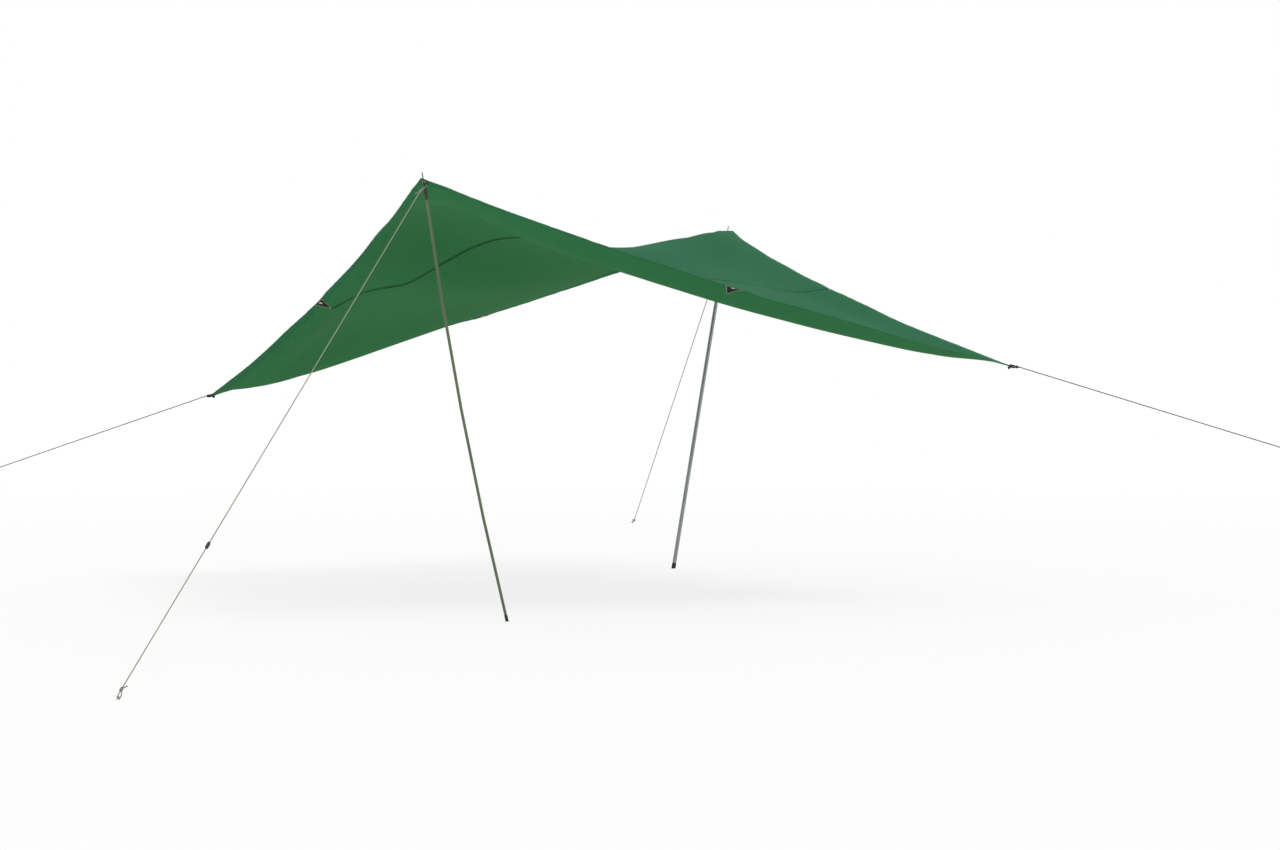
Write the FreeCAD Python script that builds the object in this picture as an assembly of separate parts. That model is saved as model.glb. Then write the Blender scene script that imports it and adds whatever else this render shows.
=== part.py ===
import FreeCAD, Part
import math
import os
from FreeCAD import Vector

# Tarp shelter: a square sheet with two opposite corners held high on poles and the other two
# pulled low, so that the cloth twists into a saddle. Millimetres, +Z up, ground at Z = 0.
# The origin is the flat underside of the near pole's foot.
# X runs along the hem from the near high corner to the right low corner,
# Y along the hem from the near high corner to the left low corner.

# ---------------------------------------------------------------- driving dimensions
NEAR = Vector(-555, -280, 2110)     # high corner over the near pole
LEFT = Vector(-560, 3085, 1070)     # low corner
FAR = Vector(2860, 3060, 2120)      # high corner over the far pole
RIGHT = Vector(2765, -280, 1235)    # low corner
NEAR_FOOT = Vector(0, 0, 0)
FAR_FOOT = Vector(2330, 2805, 0)
PEG_SPOTS = {                       # where each guy line meets its peg, on the ground
    "near": Vector(-2500, -2220, 0),
    "far": Vector(4325, 7460, 0),
    "left": Vector(-2760, 6270, 0),
    "right": Vector(5990, -2570, 0),
}

SIDE = 3400.0                       # mean side, turns millimetres into shares of the sheet
# How far the middle of a hem stands inside the straight line.
BOW = {"near_left": 80, "left_far": 15, "far_right": 170, "right_near": 0}
# And below it.
SAG = {"near_left": 12, "left_far": 42, "far_right": -11, "right_near": 48}
# How much more of that sag lies towards the end of the hem.
SKEW = {"near_left": -0.55, "left_far": 0.80, "far_right": -0.02, "right_near": 0.03}
# Depth of the long hollow inside a hem.
TROUGH = {"near_left": 76, "left_far": 107, "far_right": 69, "right_near": 116}
# It is deepest this far inside the hem.
TROUGH_AT = {"near_left": 130, "left_far": 312, "far_right": 314, "right_near": 245}
# Above 1 moves its deepest place towards the end of the hem.
TROUGH_LEAN = {"near_left": 1.46, "left_far": 0.38, "far_right": 1.60, "right_near": 1.30}
# Above 1 draws its ends together.
TROUGH_NARROW = {"near_left": 2.12, "left_far": 2.60, "far_right": 1.11, "right_near": 0.79}
TROUGH_EDGE = 2.19                  # how sharply it starts at the hem
DOME = 134                          # lift of the whole middle
RIDGE = 224                         # lift of the fold between the two poles
RIDGE_LEAN = 0.51                   # how much more of it lies near the near pole
RIDGE_HALF = 0.173                  # half width of that fold, as a share of the sheet
RIDGE_FLAT = 3.0                    # how flat its top is
RIDGE_SHIFT = 0.090                 # how far it stands aside of the line between the poles
RIDGE_TURN = -0.120                 # and how much that changes along it
RIDGE_END = 18.7                    # how soon it starts at the hems and corners
CREST = 68                          # lift of the fold beside the far corner
CREST_AT = 0.92                     # place of that lift between the two poles
CREST_LONG = 0.160                  # half its length
CREST_HALF = 0.22                   # half its width
CREST_END = 14.0                    # how soon it starts at the hems

CLOTH = 1.0                         # thicknesses
HEM_THICK = 2.0
PATCH_THICK = 1.2
TAPE_THICK = 1.2
HEM_WIDE = 36.0
SEAM_WIDE = 24.0
CORNER_PATCH = 46.0                 # side of the square patch under a corner
NET = 60                            # spans of the surface along each side
EDGE_PATCH_BASE = 105.0             # triangular patch in the middle of a hem
EDGE_PATCH_TIP = 10.0
EDGE_PATCH_DEEP = 84.0
GAP = 0.3                           # air between pieces that stitching holds together
TAPE_START = 3.0                    # from an edge patch to the end of the seam tape
HOLE_REACH = 12.0                   # an eyelet's hole is cut this far above and below
PAST_RIM = 34.0                     # how far a patch's cutting prism starts outside the rim
PRISM_TALL = 3000.0

CORNER_EYE = {"hole": 8.5, "barrel": 10.0, "flange": 15.0, "inset": 22.0}
EDGE_EYE = {"hole": 5.0, "barrel": 6.2, "flange": 10.0, "inset": 22.0}
FLANGE_THICK = 0.7
FLANGE_GAP = 0.6
EYE_TOP = HEM_THICK / 2 + FLANGE_GAP + FLANGE_THICK
EYE_LOW = -(HEM_THICK / 2 + GAP + PATCH_THICK + FLANGE_GAP + FLANGE_THICK)
OVERCUT = 1.0                       # how far a cutting solid runs past a face

SPIKE = 2.75                        # radius of the pin on a pole's tip
SPIKE_END = 2.5                     # radius of its free end
SPIKE_STEP = 14.0                   # that end starts this far above the middle of the eyelet
SPIKE_LAP = 2.0                     # overlap of that end and the thicker part below
SPIKE_ABOVE = 42.0                  # top of the pin above the middle of the eyelet
SPIKE_BELOW = 34.0                  # shoulder of the pin below it
LOOP_BELOW = 22.0                   # the guy line's loop round the pin, below it
SECTIONS = 4
POLES = {
    "near": {"foot": NEAR_FOOT, "radius": 7.0, "wall": 1.0, "bow": 27.0},
    "far": {"foot": FAR_FOOT, "radius": 12.0, "wall": 1.2, "bow": 0.0},
}
BOW_SIDE = Vector(-0.897, 0.4415, 0)
TUBE_SLIT = 0.2                     # half the air between the ends of two tubes
SPIGOT_HALF = 55.0                  # length of the spigot in each tube
SPIGOT_CLEAR = 0.08
SPIGOT_WALL = 1.2
SPIGOT_BEND = 3.0                   # reach of the bend where two tubes meet at a slight angle
FOOT_SLEEVE = 34.0                  # rubber cup on the foot: its height and wall
FOOT_WALL = 0.8
FOOT_SOLE = 12.0                    # from the ground to the tube inside it
CAP_LONG = 50.0                     # cap over the top tube, under the spike
CAP_WALL = 1.0
CAP_CONE = 7.0
CAP_SHARE = 0.6                     # the cone's small end, as a share of the tube's radius
CAP_LIFT = 0.5                      # the cone starts this far above the end of the tube
PLUG_LONG = 30.0                    # plug of the cap inside the tube
FIT = 0.05                          # clearance of a cup or cap on its tube
GROUND_BLOCK = 100.0                # block that cuts a foot level

CORD = 2.25                         # radius of a guy line
LOOP_SIDE = 8.0                     # half width of a loop round a pin or peg
LOOP_CROSS = 2.5                    # how far its two legs stand aside where they meet
PIN_LOOP_BACK = 9.0                 # how far a loop passes behind the middle of a pin or peg
PEG_LOOP_BACK = 6.5
KNOT_OUT = 34.0                     # from a loop's far end to the middle of its knot
KNOT = 8.0                          # radius of a knot
LOW_KNOT_BELOW = 16.0               # knot under the eyelet of a low corner
LOW_BEND_ABOVE = 8.0                # where its guy line turns, over the eyelet

PEG_ROD = 2.5
PEG_TIP_Z = -150.0
PEG_LEAN = 30.0                     # degrees from upright, head away from the shelter
PEG_LOOP_UP = 11.0                  # the guy line's loop above the ground
PEG_NECK = 5.0                      # straight rod between that loop and the hook
PEG_HOOK = 6.0
PEG_BILL = 7.0
PEG_POINT = 14.0
PEG_POINT_END = 0.8

SLIDER = {"long": 38.0, "wide": 15.0, "thick": 7.5, "hole": 2.55, "side_hole": 1.9, "side": 4.7}
SLIDER_ROUND = 1.4
EDGE_FLAT = 0.01                    # an edge that leaves its plane by less lies in it
SLIDER_SPOTS = {"near": 0.25, "far": 0.84, "left": 0.20, "right": 0.20}

os.makedirs("parts", exist_ok=True)


# ---------------------------------------------------------------- the sheet's surface
# u runs from the near corner to the left one, v from the near corner to the right one.
def mix(a, b, t):
    return a * (1 - t) + b * t


def inward(a, b):
    """Level unit vector, square to the hem from a to b, towards the middle of the sheet."""
    middle = (NEAR + LEFT + FAR + RIGHT) * 0.25
    along = Vector(b.x - a.x, b.y - a.y, 0).normalize()
    side = Vector(-along.y, along.x, 0)
    if side.dot(middle - a) < 0:
        side = side * -1
    return side


INWARD = {
    "near_left": inward(NEAR, LEFT),
    "left_far": inward(LEFT, FAR),
    "far_right": inward(FAR, RIGHT),
    "right_near": inward(RIGHT, NEAR),
}


def hem_shift(name, t):
    """How far a hem stands from the straight line between its corners."""
    sag = SAG[name] * (1 + SKEW[name] * (2 * t - 1))
    return (INWARD[name] * BOW[name] - Vector(0, 0, sag)) * 4 * t * (1 - t)


def trough(name, t, inset):
    """Depth of the hollow inside a hem, at a share t of its length."""
    t = min(1.0, max(0.0, t))
    depth = max(0.0, inset) * SIDE / TROUGH_AT[name]
    along = abs(math.sin(math.pi * t ** TROUGH_LEAN[name])) ** TROUGH_NARROW[name]
    return TROUGH[name] * along * (depth * math.exp(1 - depth)) ** TROUGH_EDGE


def ridge(u, v, middle):
    """Lift of the fold that runs from one pole to the other."""
    along = (u + v) / 2
    aside = u - v - RIDGE_SHIFT - RIDGE_TURN * (along - 0.5)
    high = RIDGE * 4 * along * (1 - along) * (1 + RIDGE_LEAN * (1 - 2 * along))
    return high * math.exp(-(abs(aside / RIDGE_HALF) ** RIDGE_FLAT)) * (1 - (1 - middle) ** RIDGE_END)


def crest(u, v, middle):
    """Lift of the same fold beside the far corner."""
    along = ((u + v) / 2 - CREST_AT) / CREST_LONG
    aside = (u - v) / CREST_HALF
    return CREST * math.exp(-(along ** 2) - aside ** 2) * (1 - (1 - middle) ** CREST_END)


def cloth(u, v):
    point = mix(mix(NEAR, LEFT, u), mix(RIGHT, FAR, u), v)
    point = point + hem_shift("near_left", u) * (1 - v)
    point = point + hem_shift("far_right", u) * v
    point = point + hem_shift("right_near", v) * (1 - u)
    point = point + hem_shift("left_far", v) * u
    middle = max(0.0, 16 * u * v * (1 - u) * (1 - v))
    lift = DOME * middle * (2 - middle) + ridge(u, v, middle) + crest(u, v, middle)
    lift -= trough("near_left", u, v) + trough("far_right", 1 - u, 1 - v)
    lift -= trough("right_near", v, u) + trough("left_far", v, 1 - u)
    return point + Vector(0, 0, lift)


def make_master():
    """One smooth surface through the whole sheet, whose parameters are the shares u and v."""
    step = 1 / NET
    weights = {-1: -1 / 6, 0: 8 / 6, 1: -1 / 6}

    def pole(i, j):
        total = Vector(0, 0, 0)
        for di, wi in weights.items():
            for dj, wj in weights.items():
                total += cloth((i + di) * step, (j + dj) * step) * (wi * wj)
        return total

    poles = [[pole(i, j) for j in range(-1, NET + 2)] for i in range(-1, NET + 2)]
    knots = [i * step for i in range(-3, NET + 4)]
    ones = [1] * len(knots)
    surface = Part.BSplineSurface()
    surface.buildFromPolesMultsKnots(poles, ones, ones, knots, knots, False, False, 3, 3)
    return surface


MASTER = make_master()


def sheet_normal(u, v):
    """Unit vector square to the sheet, upwards."""
    normal = MASTER.normal(u, v)
    return normal if normal.z > 0 else normal * -1


def strip(u_low, u_high, v_low, v_high, top, thick):
    """Closed solid under the stretch of the sheet between these shares."""
    surface = MASTER.copy()
    surface.translate(Vector(0, 0, top))
    surface.segment(u_low, u_high, v_low, v_high)
    return surface.toShape().extrude(Vector(0, 0, -thick))


# ---------------------------------------------------------------- small solids
def rod(start, end, radius):
    run = end - start
    return Part.makeCylinder(radius, run.Length, start, run)


def tube(start, end, radius, wall):
    longer = (end - start).normalize()
    hollow = rod(start - longer, end + longer, radius - wall)
    return rod(start, end, radius).cut(hollow)


def bend(points, longest_reach=math.inf):
    """Wire through the points: straight runs with an arc as large as they allow at each."""
    edges = []
    start = points[0]
    for before, corner, after in zip(points, points[1:], points[2:]):
        back = before - corner
        ahead = after - corner
        half_turn = (math.pi - back.getAngle(ahead)) / 2
        reach = min(0.45 * min(back.Length, ahead.Length), longest_reach)
        arc_radius = reach / math.tan(half_turn)
        arc_start = corner + back.normalize() * reach
        arc_end = corner + ahead.normalize() * reach
        centre_way = (back + ahead).normalize()
        centre = corner + centre_way * (arc_radius / math.cos(half_turn))
        top = centre - centre_way * arc_radius
        edges.append(Part.LineSegment(start, arc_start).toShape())
        edges.append(Part.Arc(arc_start, top, arc_end).toShape())
        start = arc_end
    edges.append(Part.LineSegment(start, points[-1]).toShape())
    return Part.Wire(edges)


def cord_tube(points, radius, label):
    wire = bend(points)
    first = points[1] - points[0]
    profile = Part.Wire(Part.makeCircle(radius, points[0], first))
    solid = wire.makePipeShell([profile], True, True)
    expected = math.pi * radius ** 2 * wire.Length
    radii = [round(e.Curve.Radius, 1) for e in wire.Edges if hasattr(e.Curve, "Radius")]
    print(label, "length", round(wire.Length), "volume share",
          round(solid.Volume / expected, 4), "bend radii", radii)
    return solid


def placed(shape, origin, z_way, x_hint):
    """Turn a shape drawn round the Z axis so that Z points along z_way and X near x_hint."""
    z_axis = Vector(z_way).normalize()
    y_axis = z_axis.cross(x_hint).normalize()
    x_axis = y_axis.cross(z_axis)
    matrix = FreeCAD.Matrix(x_axis.x, y_axis.x, z_axis.x, origin.x,
                            x_axis.y, y_axis.y, z_axis.y, origin.y,
                            x_axis.z, y_axis.z, z_axis.z, origin.z,
                            0, 0, 0, 1)
    moved = shape.copy()
    moved.Placement = FreeCAD.Placement(matrix)
    return moved


def save(name, shape):
    shape.exportStep("parts/" + name + ".step")


# ---------------------------------------------------------------- eyelets
CORNERS = {"near": (0, 0), "left": (1, 0), "far": (1, 1), "right": (0, 1)}
EDGES = {"near_left": (0.5, 0), "left_far": (1, 0.5), "far_right": (0.5, 1), "right_near": (0, 0.5)}


def inset_from(u, v, distance):
    """Move a point of the sheet's rim inwards by a distance."""
    share = distance / SIDE
    if u in (0, 1):
        u = abs(u - share)
    if v in (0, 1):
        v = abs(v - share)
    return u, v


def eyelet_frame(u, v, eye):
    u, v = inset_from(u, v, eye["inset"])
    return MASTER.value(u, v), sheet_normal(u, v)


def eyelet_middle(corner):
    """Middle of a corner eyelet's bore."""
    centre, normal = eyelet_frame(*CORNERS[corner], CORNER_EYE)
    return centre + normal * ((EYE_TOP + EYE_LOW) / 2)


def eyelet(u, v, eye):
    """Rolled metal ring: a barrel through cloth and patch with a flange on each side."""
    centre, normal = eyelet_frame(u, v, eye)
    ring = rod(Vector(0, 0, EYE_LOW), Vector(0, 0, EYE_TOP), eye["barrel"])
    for level in (EYE_TOP - FLANGE_THICK, EYE_LOW):
        ring = ring.fuse(Part.makeCylinder(eye["flange"], FLANGE_THICK, Vector(0, 0, level)))
    ring = ring.cut(rod(Vector(0, 0, EYE_LOW - OVERCUT), Vector(0, 0, EYE_TOP + OVERCUT), eye["hole"]))
    return placed(ring.removeSplitter(), centre, normal, Vector(1, 0, 0))


def eyelet_hole(u, v, eye):
    centre, normal = eyelet_frame(u, v, eye)
    return rod(centre - normal * HOLE_REACH, centre + normal * HOLE_REACH, eye["barrel"] + GAP)


HOLES = [eyelet_hole(u, v, CORNER_EYE) for u, v in CORNERS.values()]
HOLES += [eyelet_hole(u, v, EDGE_EYE) for u, v in EDGES.values()]


def pierced(shape):
    for hole in HOLES:
        if shape.BoundBox.intersect(hole.BoundBox):
            shape = shape.cut(hole)
    return shape


# ---------------------------------------------------------------- canopy
HEM = HEM_WIDE / SIDE
SEAM = SEAM_WIDE / SIDE / 2
SLIT = GAP / SIDE
STRAIGHT = 1e-4                     # radians of turn that count as none


def build_canopy():
    inner_low = HEM + SLIT
    inner_high = 1 - HEM - SLIT
    half = CLOTH / 2
    near_panel = strip(inner_low, 0.5 - SLIT, inner_low, inner_high, half, CLOTH)
    far_panel = strip(0.5 + SLIT, inner_high, inner_low, inner_high, half, CLOTH)
    save("canopy_near_panel", near_panel)
    save("canopy_far_panel", far_panel)
    end = (EDGE_PATCH_DEEP + TAPE_START) / SIDE
    save("centre_seam_tape",
         strip(0.5 - SEAM, 0.5 + SEAM, end, 1 - end, -half - GAP, TAPE_THICK))
    hem_half = HEM_THICK / 2
    hems = {
        "hem_near_left": (0, 1, 0, HEM),
        "hem_far_right": (0, 1, 1 - HEM, 1),
        "hem_right_near": (0, HEM, HEM + SLIT, 1 - HEM - SLIT),
        "hem_left_far": (1 - HEM, 1, HEM + SLIT, 1 - HEM - SLIT),
    }
    for name, (u_low, u_high, v_low, v_high) in hems.items():
        save(name, pierced(strip(u_low, u_high, v_low, v_high, hem_half, HEM_THICK)))


def build_corner_patches():
    size = CORNER_PATCH / SIDE
    top = -(HEM_THICK / 2 + GAP)
    for name, (u, v) in CORNERS.items():
        u_low = min(u, abs(u - size))
        v_low = min(v, abs(v - size))
        patch = strip(u_low, u_low + size, v_low, v_low + size, top, PATCH_THICK)
        save("corner_patch_" + name, pierced(patch))
        save("corner_eyelet_" + name, eyelet(u, v, CORNER_EYE))


def build_edge_patches():
    """Triangles with a blunt tip under the middle of each hem, widest at the hem."""
    top = -(HEM_THICK / 2 + GAP)
    deep = EDGE_PATCH_DEEP / SIDE
    base = EDGE_PATCH_BASE / SIDE / 2
    tip = EDGE_PATCH_TIP / SIDE / 2
    past = PAST_RIM / SIDE
    for name, (u, v) in EDGES.items():
        rim_is_u = u in (0, 1)
        rim = u if rim_is_u else v
        inwards = 1 if rim == 0 else -1
        deep_span = tuple(sorted((rim, rim + inwards * deep)))
        base_span = (0.5 - base, 0.5 + base)
        span = deep_span + base_span if rim_is_u else base_span + deep_span
        blank = strip(*span, top, PATCH_THICK)
        outline = []
        for depth, half in ((-past, base), (deep, tip), (deep, -tip), (-past, -base)):
            level = rim + inwards * depth
            point = cloth(level, 0.5 + half) if rim_is_u else cloth(0.5 + half, level)
            outline.append(Vector(point.x, point.y, 0))
        prism = Part.Face(Part.makePolygon(outline + outline[:1]))
        prism = prism.extrude(Vector(0, 0, PRISM_TALL))
        save("edge_patch_" + name, pierced(blank.common(prism)))
        save("edge_eyelet_" + name, eyelet(u, v, EDGE_EYE))


# ---------------------------------------------------------------- poles
def pole_line(name):
    """Points where the pole's tubes meet, from the foot to the shoulder under the eyelet."""
    pole = POLES[name]
    eye = eyelet_middle(name)
    up = (eye - pole["foot"]).normalize()
    shoulder = eye - up * SPIKE_BELOW
    points = []
    for i in range(SECTIONS + 1):
        share = i / SECTIONS
        bow = BOW_SIDE * pole["bow"] * 4 * share * (1 - share)
        points.append(mix(pole["foot"], shoulder, share) + bow)
    return points, eye


def build_pole(name):
    pole = POLES[name]
    radius = pole["radius"]
    wall = pole["wall"]
    points, eye = pole_line(name)
    bore = radius - wall
    for i, (low, high) in enumerate(zip(points, points[1:])):
        along = (high - low).normalize()
        start = low + along * (FOOT_SOLE if i == 0 else TUBE_SLIT)
        end = high - along * TUBE_SLIT
        save(name + "_pole_tube_" + str(i + 1), tube(start, end, radius, wall))
    for i in range(1, SECTIONS):
        spigot = build_spigot(points[i - 1], points[i], points[i + 1], bore - SPIGOT_CLEAR)
        save(name + "_pole_spigot_" + str(i), spigot)
    build_foot(name, points, radius)
    build_spike(name, points, eye, radius, bore)


def build_spigot(below, joint, above, radius):
    """Tube inside the ends of two pole tubes, bent as they are where they meet."""
    low = joint + (below - joint).normalize() * SPIGOT_HALF
    high = joint + (above - joint).normalize() * SPIGOT_HALF
    if (joint - low).getAngle(high - joint) < STRAIGHT:
        return tube(low, high, radius, SPIGOT_WALL)
    line = bend([low, joint, high], SPIGOT_BEND)
    way = joint - low
    rings = [Part.Wire(Part.makeCircle(r, low, way)) for r in (radius, radius - SPIGOT_WALL)]
    outer, inner = [line.makePipeShell([ring], True, True) for ring in rings]
    return outer.cut(inner)


def build_foot(name, points, radius):
    """Rubber cup over the lowest tube, cut level where it stands on the ground."""
    foot = points[0]
    up = (points[1] - foot).normalize()
    body = rod(foot - up * FOOT_SOLE, foot + up * FOOT_SLEEVE, radius + FOOT_WALL)
    socket = rod(foot + up * (FOOT_SOLE - TUBE_SLIT), foot + up * (FOOT_SLEEVE + OVERCUT), radius + FIT)
    half = GROUND_BLOCK / 2
    ground = Part.makeBox(GROUND_BLOCK, GROUND_BLOCK, half, foot - Vector(half, half, half))
    save(name + "_pole_foot", body.cut(socket).cut(ground).removeSplitter())


def build_spike(name, points, eye, radius, bore):
    """Plug in the top tube and cap over it, with the pin that enters the eyelet."""
    shoulder = points[-1]
    up = (eye - shoulder).normalize()
    tube_way = (shoulder - points[-2]).normalize()
    outer = radius + CAP_WALL
    plug = rod(shoulder - tube_way * PLUG_LONG, shoulder, bore - SPIGOT_CLEAR / 2)
    sleeve = tube(shoulder - tube_way * CAP_LONG, shoulder, outer, CAP_WALL - FIT)
    lid = rod(shoulder, shoulder + tube_way * CAP_WALL, outer)
    cone = Part.makeCone(outer, radius * CAP_SHARE, CAP_CONE, shoulder + up * CAP_LIFT, up)
    pin = rod(shoulder, eye + up * SPIKE_STEP, SPIKE)
    end = rod(eye + up * (SPIKE_STEP - SPIKE_LAP), eye + up * SPIKE_ABOVE, SPIKE_END)
    rounded = Part.makeSphere(SPIKE_END, eye + up * SPIKE_ABOVE)
    parts = [sleeve, lid, cone, pin, end, rounded]
    save(name + "_pole_spike", plug.fuse(parts).removeSplitter())


# ---------------------------------------------------------------- guy lines, sliders, pegs
def peg_axis(name):
    """Unit vector up the peg: it leans away from its corner of the shelter."""
    corner = {"near": NEAR, "left": LEFT, "far": FAR, "right": RIGHT}[name]
    away = PEG_SPOTS[name] - corner
    away = Vector(away.x, away.y, 0).normalize()
    lean = math.radians(PEG_LEAN)
    return away * math.sin(lean) + Vector(0, 0, math.cos(lean))


def peg_eye(name):
    """Middle of the guy line's loop on the peg."""
    up = peg_axis(name)
    return PEG_SPOTS[name] + up * (PEG_LOOP_UP / up.z)


def build_peg(name):
    up = peg_axis(name)
    away = Vector(up.x, up.y, 0).normalize()
    out = (away - up * away.dot(up)).normalize()
    eye = peg_eye(name)
    tip = eye + up * ((PEG_TIP_Z - eye.z) / up.z)
    neck = eye + up * PEG_NECK
    point = Part.makeCone(PEG_POINT_END, PEG_ROD, PEG_POINT, tip, up)
    shaft = rod(tip + up * PEG_POINT, neck, PEG_ROD)
    crown = neck + out * PEG_HOOK + up * PEG_HOOK
    far_side = neck + out * (2 * PEG_HOOK)
    arc = Part.Arc(neck, crown, far_side).toShape()
    bill = Part.LineSegment(far_side, far_side - up * PEG_BILL).toShape()
    profile = Part.Wire(Part.makeCircle(PEG_ROD, neck, up))
    hook = Part.Wire([arc, bill]).makePipeShell([profile], True, True)
    save("peg_" + name, shaft.fuse([point, hook]).removeSplitter())


def loop_points(eye, pin_way, guy_way, side_sign, behind):
    """Knot end, then the two corners of the loop behind a pin; guy_way leaves the pin."""
    side = pin_way.cross(guy_way).normalize() * side_sign
    knot = eye + guy_way * KNOT_OUT - side * LOOP_CROSS
    first = eye - guy_way * behind + side * LOOP_SIDE
    second = eye - guy_way * behind - side * LOOP_SIDE
    return [knot, first, second]


def pole_loop_eye(name):
    _, eye = pole_line(name)
    up = (eye - POLES[name]["foot"]).normalize()
    return eye - up * LOOP_BELOW, up


def guy_route(name):
    """The guy line's points from its upper end to its knot beside the peg."""
    low_eye = peg_eye(name)
    if name in POLES:
        high_eye, pin_way = pole_loop_eye(name)
        guy_way = (low_eye - high_eye).normalize()
        upper = loop_points(high_eye, pin_way, guy_way, 1, PIN_LOOP_BACK)
    else:
        high_eye, normal = eyelet_frame(*CORNERS[name], CORNER_EYE)
        guy_way = (low_eye - high_eye).normalize()
        upper = [high_eye - normal * LOW_KNOT_BELOW, high_eye + normal * LOW_BEND_ABOVE]
    lower = loop_points(low_eye, peg_axis(name), guy_way * -1, -1, PEG_LOOP_BACK)
    return upper + lower[::-1]


def straight_part(name):
    """The two ends of the long straight stretch of a guy line."""
    route = guy_route(name)
    return route[-4], route[-3]


def knot_at(point, way):
    """Ball round the crossing of the strands; its seam lies square to the line."""
    return Part.makeSphere(KNOT, point, way)


def build_guy(name):
    route = guy_route(name)
    line = cord_tube(route, CORD, "guy_line_" + name)
    high, low = straight_part(name)
    way = (low - high).normalize()
    peg_knot = low - way * (KNOT_OUT + PEG_LOOP_BACK)
    knots = [knot_at(peg_knot, way)]
    if name in POLES:
        knots.append(knot_at(high + way * (KNOT_OUT + PIN_LOOP_BACK), way))
    else:
        knots.append(knot_at(route[0], way))
    save("guy_line_" + name, line.fuse(knots).removeSplitter())
    build_slider(name, high, low)


def build_slider(name, high, low):
    """Flat oval runner: the line passes along it, and each end has a small cross hole."""
    way = (high - low).normalize()
    centre = mix(low, high, SLIDER_SPOTS[name])
    half_long = SLIDER["long"] / 2
    end = SLIDER["wide"] / 2
    thick = SLIDER["thick"]
    body = Part.makeBox(SLIDER["wide"], thick, SLIDER["long"] - 2 * end,
                        Vector(-end, -thick / 2, -half_long + end))
    for level in (-half_long + end, half_long - end):
        body = body.fuse(Part.makeCylinder(end, thick, Vector(0, -thick / 2, level), Vector(0, 1, 0)))
    body = body.removeSplitter()
    rims = [edge for edge in body.Edges if edge.BoundBox.YLength < EDGE_FLAT]
    body = body.makeFillet(SLIDER_ROUND, rims)
    past = half_long + OVERCUT
    body = body.cut(rod(Vector(0, 0, -past), Vector(0, 0, past), SLIDER["hole"]))
    for level in (-half_long + end, half_long - end):
        hole = rod(Vector(SLIDER["side"], -thick, level), Vector(SLIDER["side"], thick, level),
                   SLIDER["side_hole"])
        body = body.cut(hole)
    save("slider_" + name, placed(body, centre, way, Vector(0, 0, 1)))


build_canopy()
build_corner_patches()
build_edge_patches()
for pole_name in POLES:
    build_pole(pole_name)
for spot_name in PEG_SPOTS:
    build_peg(spot_name)
    build_guy(spot_name)
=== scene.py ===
import math

import bmesh
import bpy
from mathutils import Matrix, Vector, noise


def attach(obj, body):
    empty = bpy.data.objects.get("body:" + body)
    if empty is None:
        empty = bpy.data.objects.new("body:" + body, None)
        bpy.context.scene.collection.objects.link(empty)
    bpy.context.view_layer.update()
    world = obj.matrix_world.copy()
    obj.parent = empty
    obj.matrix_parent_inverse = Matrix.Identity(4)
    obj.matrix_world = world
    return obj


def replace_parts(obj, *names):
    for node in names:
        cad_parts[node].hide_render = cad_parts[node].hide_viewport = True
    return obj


# A tarp shelter: a square green sheet in two panels, two opposite corners on sectional poles
# and two pulled low, with a guy line, runner and peg at each corner. Metres, +Z up, ground at Z = 0.
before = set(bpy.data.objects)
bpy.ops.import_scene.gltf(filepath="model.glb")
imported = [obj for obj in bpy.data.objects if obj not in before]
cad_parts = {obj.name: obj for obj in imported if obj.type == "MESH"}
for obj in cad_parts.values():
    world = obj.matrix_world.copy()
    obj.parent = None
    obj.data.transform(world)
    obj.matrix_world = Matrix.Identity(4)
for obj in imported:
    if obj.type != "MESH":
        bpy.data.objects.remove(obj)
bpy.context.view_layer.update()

# ---------------------------------------------------------------- the sheet's dimensions
NEAR = Vector((-0.555, -0.280, 2.110))
LEFT = Vector((-0.560, 3.085, 1.070))
FAR = Vector((2.860, 3.060, 2.120))
RIGHT = Vector((2.765, -0.280, 1.235))
SIDE = 3.4                          # turns metres into shares of the sheet
FLAT_SIDE = 3.5                     # the sheet as it was cut
# How far the middle of a hem stands inside the straight line.
BOW = {"near_left": 0.080, "left_far": 0.015, "far_right": 0.170, "right_near": 0.000}
# And below it.
SAG = {"near_left": 0.012, "left_far": 0.042, "far_right": -0.011, "right_near": 0.048}
# How much more of that sag lies towards the end of the hem.
SKEW = {"near_left": -0.55, "left_far": 0.80, "far_right": -0.02, "right_near": 0.03}
# Depth of the long hollow inside a hem.
TROUGH = {"near_left": 0.076, "left_far": 0.107, "far_right": 0.069, "right_near": 0.116}
# It is deepest this far inside the hem.
TROUGH_AT = {"near_left": 0.130, "left_far": 0.312, "far_right": 0.314, "right_near": 0.245}
# Above 1 moves its deepest place towards the end of the hem.
TROUGH_LEAN = {"near_left": 1.46, "left_far": 0.38, "far_right": 1.60, "right_near": 1.30}
# Above 1 draws its ends together.
TROUGH_NARROW = {"near_left": 2.12, "left_far": 2.60, "far_right": 1.11, "right_near": 0.79}
TROUGH_EDGE = 2.19                  # how sharply it starts at the hem
DOME = 0.134                        # lift of the whole middle
RIDGE = 0.224                       # lift of the fold between the two poles
RIDGE_LEAN = 0.51                   # how much more of it lies near the near pole
RIDGE_HALF = 0.173                  # half width of that fold, as a share of the sheet
RIDGE_FLAT = 3.0                    # how flat its top is
RIDGE_SHIFT = 0.090                 # how far it stands aside of the line between the poles
RIDGE_TURN = -0.120                 # and how much that changes along it
RIDGE_END = 18.7                    # how soon it starts at the hems and corners
CREST = 0.068                       # lift of the fold beside the far corner
CREST_AT = 0.92                     # place of that lift between the two poles
CREST_LONG = 0.160                  # half its length
CREST_HALF = 0.22                   # half its width
CREST_END = 14.0                    # how soon it starts at the hems
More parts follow.
